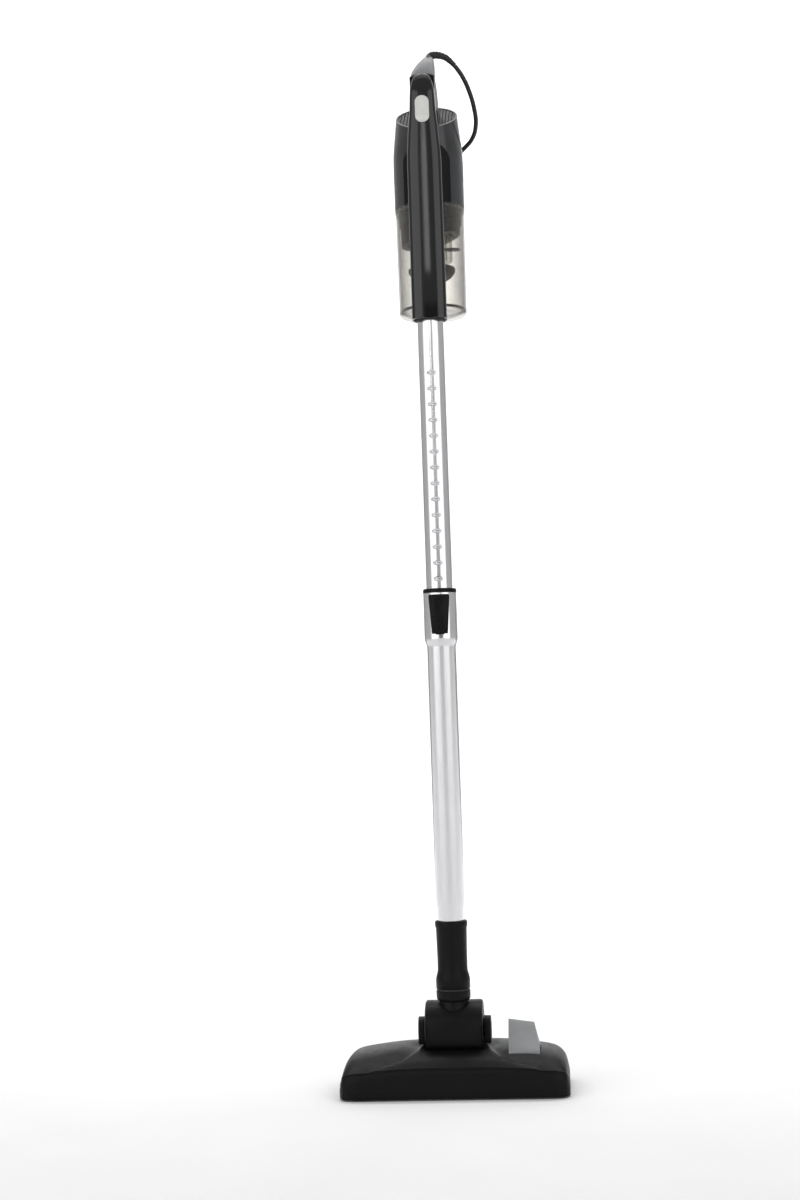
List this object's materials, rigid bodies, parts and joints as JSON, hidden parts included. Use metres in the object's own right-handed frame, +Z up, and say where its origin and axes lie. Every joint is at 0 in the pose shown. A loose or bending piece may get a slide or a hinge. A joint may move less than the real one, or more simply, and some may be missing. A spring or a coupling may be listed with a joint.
{
  "type": "corded stick vacuum cleaner",
  "caption": "Corded stick vacuum: handheld motor unit with a clear dust cup on a telescopic metal wand, with a tilting, swivelling floor head and a mains lead.",
  "frame": {"origin": "on the floor under the middle of the object's plan box, without its loose cord", "axes": "X across the floor head to the user's left when the user stands behind it, Y from the head's front edge towards the user, Z up along the wand"},
  "size_m": [0.268, 0.2688, 1.2666],
  "materials": {
    "matte_black_plastic": "fine moulded texture, satin",
    "gloss_black_plastic": "polished",
    "gloss_grey_plastic": "polished dark grey",
    "grey_plastic": "satin grey",
    "pale_grey_plastic": "satin pale grey",
    "wand_metal": "bright silver, smooth",
    "steel": "drawn",
    "smoky_clear": "transparent smoky plastic",
    "white_plastic": "translucent white",
    "black_rubber": "moulded",
    "bristle": "stiff bristle",
    "lint_fabric": "directional pile",
    "filter_paper": "pleated filter",
    "motor_copper": "turned"
  },
  "bodies": {
    "floor_head": {"head_cover": "matte_black_plastic", "sole_plate": "steel", "lint_strip_front": "lint_fabric", "lint_strip_rear": "lint_fabric", "bearing_cap_left": "matte_black_plastic", "bearing_cap_right": "matte_black_plastic", "pedal_pin": "steel", "pedal_spring": "steel", "rear_axle": "steel"},
    "brush_lift": {"brush_carrier": "matte_black_plastic", "front_brush": "bristle", "rear_brush": "bristle"},
    "rocker_pedal": {"pedal": "grey_plastic"},
    "left_wheel": {"rear_wheel_left": "black_rubber"},
    "right_wheel": {"rear_wheel_right": "black_rubber"},
    "left_roller": {"front_roller_left": "black_rubber"},
    "right_roller": {"front_roller_right": "black_rubber"},
    "neck": {"neck_drum": "matte_black_plastic", "swivel_collar": "matte_black_plastic", "swivel_washer": "black_rubber"},
    "swivel": {"swivel_socket": "matte_black_plastic"},
    "lower_wand": {"lower_tube": "wand_metal", "lock_guide": "matte_black_plastic", "lock_spring": "steel"},
    "wand_button": {"release_button": "matte_black_plastic"},
    "locking_roller": {"lock_pin": "steel"},
    "upper_wand": {"upper_tube": "wand_metal"},
    "handheld": {"spine_front_shell": "gloss_black_plastic", "handle_rear_shell": "matte_black_plastic", "wand_socket": "matte_black_plastic", "wand_seal": "black_rubber", "end_cap": "pale_grey_plastic", "switch_block": "matte_black_plastic", "strain_relief": "black_rubber", "motor_housing": "gloss_grey_plastic", "exhaust_grille": "grey_plastic", "exhaust_filter": "bristle", "motor_mount": "black_rubber", "motor_can": "steel", "inlet_duct": "matte_black_plastic", "cord_tube": "black_rubber", "cord_coil": "black_rubber", "plug": "black_rubber"},
    "switch": {"switch_button": "white_plastic"},
    "rotor": {"motor_shaft": "steel", "impeller": "motor_copper"},
    "cup": {"dust_cup": "smoky_clear", "cup_seal": "black_rubber", "separator_body": "matte_black_plastic", "hepa_filter": "filter_paper", "core_tube": "smoky_clear", "deflector": "black_rubber", "spiral_vane": "black_rubber", "lid_gasket": "black_rubber", "lid_pin": "steel"},
    "bottom_lid": {"cup_lid": "smoky_clear"},
    "latch": {"lid_latch": "matte_black_plastic"}
  },
  "joints": [
    {"name": "neck_tilt", "type": "hinge", "parent": "floor_head", "child": "neck", "pos_m": [0, -0.018, 0.072], "axis": [-1, 0, 0], "range_deg": [0, 75]},
    {"name": "neck_swivel", "type": "hinge", "parent": "neck", "child": "swivel", "pos_m": [0, -0.026, 0.12], "axis": [0, 0, 1], "range_deg": [-40, 40], "deforming": ["cord_tube"]},
    {"name": "wand_pull_off", "type": "slide", "parent": "swivel", "child": "lower_wand", "axis": [0, 0, 1], "range_m": [0, 0.06]},
    {"name": "telescope", "type": "slide", "parent": "lower_wand", "child": "upper_wand", "axis": [0, 0, 1], "range_m": [-0.268, 0]},
    {"name": "wand_button_press", "type": "slide", "parent": "lower_wand", "child": "wand_button", "axis": [0, 0, -1], "range_m": [0, 0.004], "stiffness_N_per_m": 400, "springref_m": -0.002, "deforming": ["lock_spring"]},
    {"name": "lock_pin_lift", "type": "slide", "parent": "lower_wand", "child": "locking_roller", "axis": [0, -1, 0], "range_m": [0, 0.0012]},
    {"name": "handheld_pull_off", "type": "slide", "parent": "upper_wand", "child": "handheld", "axis": [0, 0, 1], "range_m": [0, 0.06]},
    {"name": "power_switch", "type": "slide", "parent": "handheld", "child": "switch", "axis": [0, 0, 1], "range_m": [0, 0.004]},
    {"name": "motor_spin", "type": "hinge", "parent": "handheld", "child": "rotor", "pos_m": [0, 0.039, 1.09], "axis": [0, 0, 1], "continuous": true},
    {"name": "cup_pull_off", "type": "slide", "parent": "handheld", "child": "cup", "axis": [0, 0, -1], "range_m": [0, 0.06]},
    {"name": "lid_hinge", "type": "hinge", "parent": "cup", "child": "bottom_lid", "pos_m": [0, -0.0012, 0.9376], "axis": [-1, 0, 0], "range_deg": [0, 75]},
    {"name": "lid_latch_press", "type": "hinge", "parent": "cup", "child": "latch", "pos_m": [0, 0.0838, 0.956], "axis": [1, 0, 0], "range_deg": [0, 9], "stiffness_Nm_per_rad": 0.05, "springref_deg": -5.73},
    {"name": "pedal_rock", "type": "hinge", "parent": "floor_head", "child": "rocker_pedal", "pos_m": [0, -0.011, 0.05], "axis": [-1, 0, 0], "range_deg": [0, 14], "deforming": ["pedal_spring"]},
    {"name": "brush_drop", "type": "slide", "parent": "floor_head", "child": "brush_lift", "axis": [0, 0, -1], "range_m": [0, 0.004]},
    {"name": "left_wheel_roll", "type": "hinge", "parent": "floor_head", "child": "left_wheel", "pos_m": [-0.091, 0.031, 0.009], "axis": [1, 0, 0], "continuous": true},
    {"name": "right_wheel_roll", "type": "hinge", "parent": "floor_head", "child": "right_wheel", "pos_m": [0.091, 0.031, 0.009], "axis": [1, 0, 0], "continuous": true},
    {"name": "left_roller_roll", "type": "hinge", "parent": "floor_head", "child": "left_roller", "pos_m": [-0.103, -0.068, 0.005], "axis": [1, 0, 0], "continuous": true},
    {"name": "right_roller_roll", "type": "hinge", "parent": "floor_head", "child": "right_roller", "pos_m": [0.103, -0.068, 0.005], "axis": [1, 0, 0], "continuous": true}
  ],
  "couplings": [
    {"joint": "lock_pin_lift", "follows": "wand_button_press", "ratio": 0.3},
    {"joint": "brush_drop", "follows": "pedal_rock", "m_per_rad": 0.01627}
  ]
}
